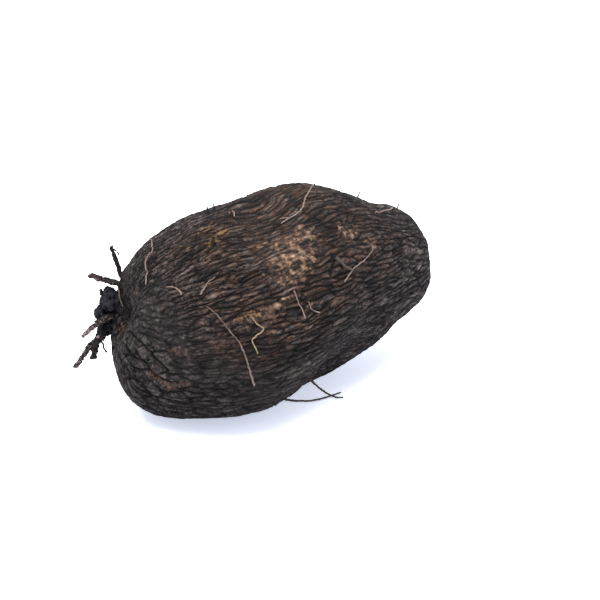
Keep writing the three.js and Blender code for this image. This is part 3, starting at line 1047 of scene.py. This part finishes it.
bark = Finish("yam_bark")
rise, tone, plated, calm = (bark.guide(name) for name in ("rise", "tone", "plated", "calm"))
chip_crack, chip_tone, _ = bark.cracks(CHIPS)
plate_crack, _, _ = bark.cracks(PLATES)
crumb_crack, crumb_tone, crumb_hue = bark.cracks(CRUMBS)
edge = chip_crack.between(0.02, 0.3) * (1 - plated) + plate_crack.between(0.05, 0.4) * plated
streaks = bark.grain(bark.place(STREAKS, "flow"), 5.0, 0.7)
bands = bark.grain(bark.place(BANDS, "flow"), 3.0, 0.5)
grit = bark.specks(1900.0, 3.0, 0.6)
flakes = bark.specks(480.0, 4.0, 0.65)
scabs = bark.specks(310.0, 2.0, 0.5)
blotch = bark.specks(230.0, 4.0, 0.65)
cloud = bark.specks(70.0, 3.0, 0.5)
bark_nodes = bark.material.node_tree.nodes
print("nodes so far:", len(bark_nodes))

# %% [markdown]
# ## How light the bark is
#
# One number says how light each spot is, and a row of colours turns it into near black, brown or
# dusty grey. It rises with the ridges, so that the crevices get painted shade, and each pattern pushes
# it a little up or down, less so in the calm areas. A pattern is 0.5 in its middle, so that is taken
# off first. Pale patches lift it as painted light, and it sinks towards the underside as painted
# shade. The cracks darken it last, with painted shade.

# %% The bark's ground colour
def swayed(amount, sways):
    """An amount that each pattern pushes up or down by its weight."""
    for pattern, weight in sways:
        amount = amount + (pattern - 0.5) * weight
    return amount


# Painted shade: the colour darkens with the height, down into the crevices.
level = 0.07 + rise * (0.48 - calm * 0.12) + calm * 0.06
# Painted light: the pale patches lift the bark. Painted shade: it darkens towards the underside.
level = level + bark.guide("pale") * 0.1 - bark.guide("under") * 0.05 - plated * 0.07
level = swayed(level, [
    (tone, 0.08), (chip_tone, 0.12), (crumb_tone, 0.22 - calm * 0.06), (bands, 0.36),
    (streaks, 0.33 - plated * 0.2 - calm * 0.1), (blotch, 0.3 + plated * 0.1), (grit, 0.44 - calm * 0.08),
])
# Painted shade in the cracks, which are too fine for the mesh to shade.
painted_crack_shade = 0.66 + plated * 0.1 - calm * 0.32
bark_colour = bark.colours(level * (1 - painted_crack_shade + edge * painted_crack_shade), shades(
    (0.06, "080807"), (0.22, "151413"), (0.38, "2a2625"), (0.54, "45403d"), (0.7, "655e5a"), (0.9, "988e88")))
print("nodes so far:", len(bark_nodes))

# %% [markdown]
# ## Grey, red and warm areas
#
# Slow noise makes some areas greyer. A few crumbs are slightly red, and round the scuffed spots the
# whole bark is warmer. Multiply and soft light tint what is there and keep its light and dark.

# %% Tint the bark
greyer = bark.mix(0.8, bark_colour, solid("8c8f9e"), "MULTIPLY")
bark_colour = bark.mix(cloud.between(0.45, 0.62) * 0.7, bark_colour, greyer)
redder = bark.mix(1.0, bark_colour, solid("c0928a"), "SOFT_LIGHT")
bark_colour = bark.mix(crumb_hue.between(0.72, 0.8) * 0.3, bark_colour, redder)
warmer = bark.mix(0.8, bark_colour, solid("cb9a68"), "SOFT_LIGHT")
warmth = bark.guide("warm") * blotch.between(0.38, 0.58)
bark_colour = bark.mix(warmth * 0.75, bark_colour, warmer)
print("nodes so far:", len(bark_nodes))

# %% [markdown]
# ## Tan, rust and gold stains
#
# Where the bark is scuffed, flakes of tan inner bark show between dark specks. Rust and gold are thin
# crusts on the tops of the ridges. Each stain is its soft patch on the mesh, and noise breaks up the
# patch's edge and its inside, so that no stain looks round.

# %% Stain the bark
def stained(guide_name, strength, sways, edges, fade=(0.02, 0.3)):
    """How strongly a stain shows, 0 to 1. Edges are the amounts where it starts and where it is full."""
    guide = bark.guide(guide_name)
    return swayed(guide * strength, sways).between(*edges) * guide.between(*fade)


top = rise.between(0.1, 0.6)
tan = stained("tan", 0.68, [(blotch, 2.6), (scabs, 0.6), (streaks, 0.5)], (0.4, 0.76))
tan_colour = bark.colours(swayed(0.43, [(scabs, 2), (flakes, 0.9), (crumb_tone, 0.4)]), shades(
    (0.2, "2c221c"), (0.45, "5c483a"), (0.65, "7f654f"), (0.9, "a88d74")))
bark_colour = bark.mix(tan * (0.7 + top * 0.3) * 0.75, bark_colour, tan_colour)

rust = stained("rust", 0.85, [(blotch, 1.2), (flakes, 1.4)], (0.35, 0.65))
rust_colour = bark.colours(swayed(0.5, [(flakes, 1.5), (crumb_tone, 0.4)]), shades(
    (0.2, "251b17"), (0.5, "42332b"), (0.85, "5f493c")))
bark_colour = bark.mix(rust * top * (0.3 + edge * 0.7) * 0.6, bark_colour, rust_colour)

gold = stained("gold", 0.7, [(flakes, 2.2), (crumb_tone, 0.7)], (0.5, 0.75), (0.05, 0.4))
bark_colour = bark.mix(gold * top * 0.7, bark_colour, solid("6f5535"))
bark.give("Base Color", bark_colour)
print("nodes so far:", len(bark_nodes))

# %% [markdown]
# ## The bark's roughness and fine bumps
#
# Bark scatters light evenly, so it is rough, a little less so on its worn ridge tops, and hardly
# glossy. Cracks, streaks and grit too fine for the mesh only tilt the light, as bumps.

# %% Make the bark rough
CRACK_BUMP = 0.8 * MM
GRIT_BUMP = 0.3 * MM
bark.give("Roughness", 0.9 - rise * 0.16 + (grit - 0.5) * 0.25)
bark.give("Specular IOR Level", 0.1)
cracked = bark.bump(edge * 0.5 + crumb_crack.between(0, 0.25) * 0.2 + streaks * 0.5, CRACK_BUMP)
bark.give("Normal", bark.bump(grit, GRIT_BUMP, cracked))
bark.dress(skin)
print("the bark is on:", [slot.name for slot in skin.material_slots])

# %% [markdown]
# ## Finishes of the roots
#
# The knot and its stubs are charcoal black with a cold tint. Some of the stubs' bark has worn off
# near the broken ends, where pale pinkish wood shows, and their undersides are pale as well, partly
# bare wood and partly a painted highlight. Rootlets are a dull pinkish beige, and brown at the start,
# where soil still sticks.

# %% Knot and shards
def root_finish(name, dark, light, roughness):
    """A rough finish between two colours. Returns it with its colour and its lumpy noise."""
    finish = Finish(name)
    lumps = finish.specks(700.0, 5.0, 0.7)
    colour = finish.colours(lumps, shades((0.35, dark), (0.68, light)))
    finish.give("Roughness", roughness)
    finish.give("Specular IOR Level", 0.1)
    finish.give("Base Color", colour)
    finish.give("Normal", finish.bump(lumps, 0.5 * MM))
    return finish, colour, lumps


charcoal, _, _ = root_finish("yam_knot", "040405", "2a292f", 0.8)
charcoal.dress(knot)
charcoal.dress(shards)
print("charcoal black:", knot.name, "and", shards.name)

# %% Stubs
stub, stub_colour, stub_lumps = root_finish("yam_stub", "0c0a0a", "2b2523", 0.75)
# Bare stubs lose their bark towards the break, and their undersides turn pale: bare wood, and partly a
# painted highlight.
wear_and_painted_highlight = stub.guide("bare") * (0.1 + stub.guide("way") * 1.2 + stub.guide("below") * 0.9)
bare_wood_and_painted_highlight = (wear_and_painted_highlight + (stub_lumps - 0.5) * 1.8).between(0.35, 0.65)
wood_colour = stub.colours(stub_lumps, shades((0.3, "3c302d"), (0.55, "6b5b56"), (0.75, "93857e")))
stub_colour = stub.mix(bare_wood_and_painted_highlight * 0.9, stub_colour, wood_colour)
broken = stub.guide("broken") * stub.guide("bare").between(0, 0.5)
stub_colour = stub.mix(broken, stub_colour, solid("7d6f68"))
stub.give("Base Color", stub_colour)
stub.dress(stubs)
print("worn down to the wood:", stubs.name)

# %% Dark roots and rootlets
dark_root, dark_colour, _ = root_finish("yam_dark_root", "0d0b0a", "362f2a", 0.8)
greyed = dark_root.mix(dark_root.guide("bare"), dark_colour, solid("8f857b"))
dark_root.give("Base Color", greyed)
dark_root.dress(dark_roots)

pale, pale_colour, pale_lumps = root_finish("yam_rootlet", "3a2f29", "675850", 0.65)
paleness = (pale.guide("bare") * 0.8 + pale.guide("way") * 0.6 + (pale_lumps - 0.5) * 1.2).between(0.3, 1.2)
root_tip = pale.mix(pale.guide("bare").between(0.9, 1), solid("7f7068"), solid("83745a"))
pale.give("Base Color", pale.mix(paleness, pale_colour, root_tip))
pale.dress(rootlets)
print("finishes:", [finish.material.name for finish in (charcoal, stub, dark_root, pale)])

# %% [markdown]
# ## Which piece stands for what
#
# Every piece rides on the yam's only body and stands for the one CAD solid, which is hidden.

# %% Tie the pieces to the frame
PIECES = [skin, knot, stubs, shards, rootlets, dark_roots]
for piece in PIECES:
    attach(piece, "root")
    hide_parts("tuber")
print("pieces:", {piece.name: count_triangles(piece) for piece in PIECES})

# %% [markdown]
# ## Table and light
#
# The yam lies on a plain white sheet, as on a light table, in an even, soft light. The sheet glows
# faintly, so that its shadows stay pale. A large lamp stands high on the left, another overhead, and
# the sky round everything is a cool white, so that what shadow there is turns slightly blue. A lamp
# is given by its name, its two angles in degrees, how far off and how wide it is in metres, and watts.

# %% The table
TABLE_SIZE = 8
deselect_all()
bpy.ops.mesh.primitive_plane_add(size=TABLE_SIZE)
table = bpy.context.object
table.name = "table"
sheet = Finish("white_sheet")
sheet.give("Base Color", (0.93, 0.93, 0.93, 1))
sheet.give("Roughness", 0.9)
sheet.give("Emission Color", (0.8, 0.85, 1.0, 1))
sheet.give("Emission Strength", 0.6)
sheet.dress(table)
print("stage:", table.name)

# %% Sky and lamps
SKY_COLOUR = (0.82, 0.86, 1.0, 1)
SKY_STRENGTH = 1.15
LAMP_COLOUR = (1.0, 0.98, 0.95)
LAMPS = [("key", -100, 68, 1.6, 0.9, 30), ("top", 40, 80, 1.8, 1.2, 42)]
sky = bpy.data.worlds.new("sky")
sky.use_nodes = True
glow = sky.node_tree.nodes["Background"]
glow.inputs["Color"].default_value = SKY_COLOUR
glow.inputs["Strength"].default_value = SKY_STRENGTH
bpy.context.scene.world = sky
for name, azimuth, elevation, distance, side, power in LAMPS:
    back = from_round_angles(math.radians(azimuth), math.radians(elevation))
    bpy.ops.object.light_add(type="AREA", location=CAMERA_AIM + distance * back)
    lamp = bpy.context.object
    lamp.name = name
    lamp.rotation_euler = (-back).to_track_quat("-Z", "Y").to_euler()
    lamp.data.size = side
    lamp.data.energy = power
    lamp.data.color = LAMP_COLOUR
bpy.context.scene.view_settings.view_transform = "Standard"
print("lamps:", [lamp[0] for lamp in LAMPS])
